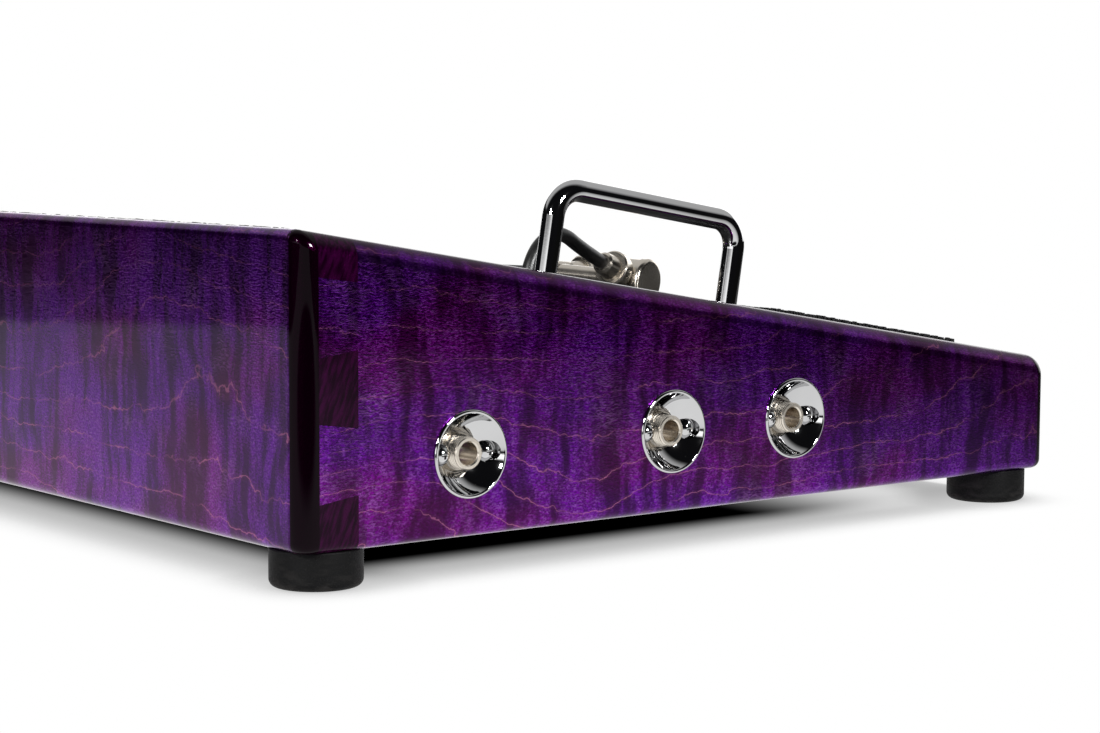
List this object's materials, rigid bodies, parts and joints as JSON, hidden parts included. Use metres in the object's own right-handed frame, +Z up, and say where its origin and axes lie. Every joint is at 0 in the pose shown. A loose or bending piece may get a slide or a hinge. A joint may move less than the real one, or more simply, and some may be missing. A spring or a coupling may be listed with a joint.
{
  "type": "pedalboard",
  "caption": "Wedge-shaped dovetailed wooden pedalboard with a sloping carpeted deck, carrying handles, side jacks in recessed cups and round feet.",
  "frame": {"origin": "on the floor under the middle of the board's outline", "axes": "+X along the board to its right side, -Y to the low front edge that faces the player, +Z up"},
  "size_m": [0.6612, 0.3048, 0.1111],
  "materials": {
    "maple": "violet-dyed curly maple under a thick high-gloss clear coat",
    "black_ply": "plywood painted satin black",
    "cleat_wood": "plain planed hardwood",
    "loop_carpet": "black looped pile carpet",
    "chrome": "polished chrome plate",
    "nickel": "polished nickel plate",
    "plated_steel": "zinc-plated steel",
    "black_screw": "black oxide steel",
    "contact_metal": "spring bronze",
    "phenolic": "brown laminated insulator",
    "rubber": "matt black moulded rubber",
    "cable_jacket": "black flexible PVC jacket"
  },
  "bodies": {
    "board": {"left_panel": "maple", "right_panel": "maple", "rear_panel": "maple", "front_panel": "maple", "deck_board": "black_ply", "cleat_rear": "cleat_wood", "cleat_front": "cleat_wood", "cleat_left": "cleat_wood", "cleat_right": "cleat_wood", "centre_rib": "cleat_wood", "corner_block_rear_left": "cleat_wood", "corner_block_rear_right": "cleat_wood", "corner_block_front_left": "cleat_wood", "corner_block_front_right": "cleat_wood", "handle_block_left": "cleat_wood", "handle_block_right": "cleat_wood", "carpet_rear": "loop_carpet", "carpet_front": "loop_carpet", "handle_left": "chrome", "handle_right": "chrome", "jack_cup_1": "chrome", "jack_cup_2": "chrome", "jack_cup_3": "chrome", "cup_screws": "chrome", "jack_bushing_1": "nickel", "jack_bushing_2": "nickel", "jack_bushing_3": "nickel", "plug_a_collar": "nickel", "plug_a_ring": "nickel", "plug_a_head": "nickel", "plug_a_cap": "nickel", "plug_a_sleeve": "nickel", "plug_b_collar": "nickel", "plug_b_ring": "nickel", "plug_b_head": "nickel", "plug_b_cap": "nickel", "plug_b_sleeve": "nickel", "plug_tips": "nickel", "jack_frame_1": "plated_steel", "jack_frame_2": "plated_steel", "jack_frame_3": "plated_steel", "jack_washers": "plated_steel", "jack_rivets": "plated_steel", "handle_screws": "plated_steel", "handle_washers": "plated_steel", "foot_screws": "plated_steel", "foot_washers": "plated_steel", "deck_screws": "black_screw", "jack_lugs": "contact_metal", "jack_wafers": "phenolic", "plug_insulators": "phenolic", "foot_rear_left": "rubber", "foot_rear_right": "rubber", "foot_front_left": "rubber", "foot_front_right": "rubber", "lead_a": "cable_jacket", "lead_b": "cable_jacket"},
    "tip_contact_1": {"tip_spring_1": "contact_metal"},
    "tip_contact_2": {"tip_spring_2": "contact_metal"},
    "tip_contact_3": {"tip_spring_3": "contact_metal"}
  },
  "joints": [
    {"name": "tip_contact_flex_1", "type": "hinge", "parent": "board", "child": "tip_contact_1", "pos_m": [-0.3077, 0.09525, 0.02665], "axis": [0, 1, 0], "range_deg": [0, 12], "stiffness_Nm_per_rad": 0.15},
    {"name": "tip_contact_flex_2", "type": "hinge", "parent": "board", "child": "tip_contact_2", "pos_m": [-0.3077, 0.01905, 0.02765], "axis": [0, 1, 0], "range_deg": [0, 12], "stiffness_Nm_per_rad": 0.15},
    {"name": "tip_contact_flex_3", "type": "hinge", "parent": "board", "child": "tip_contact_3", "pos_m": [-0.3077, -0.03175, 0.02825], "axis": [0, 1, 0], "range_deg": [0, 12], "stiffness_Nm_per_rad": 0.15}
  ]
}
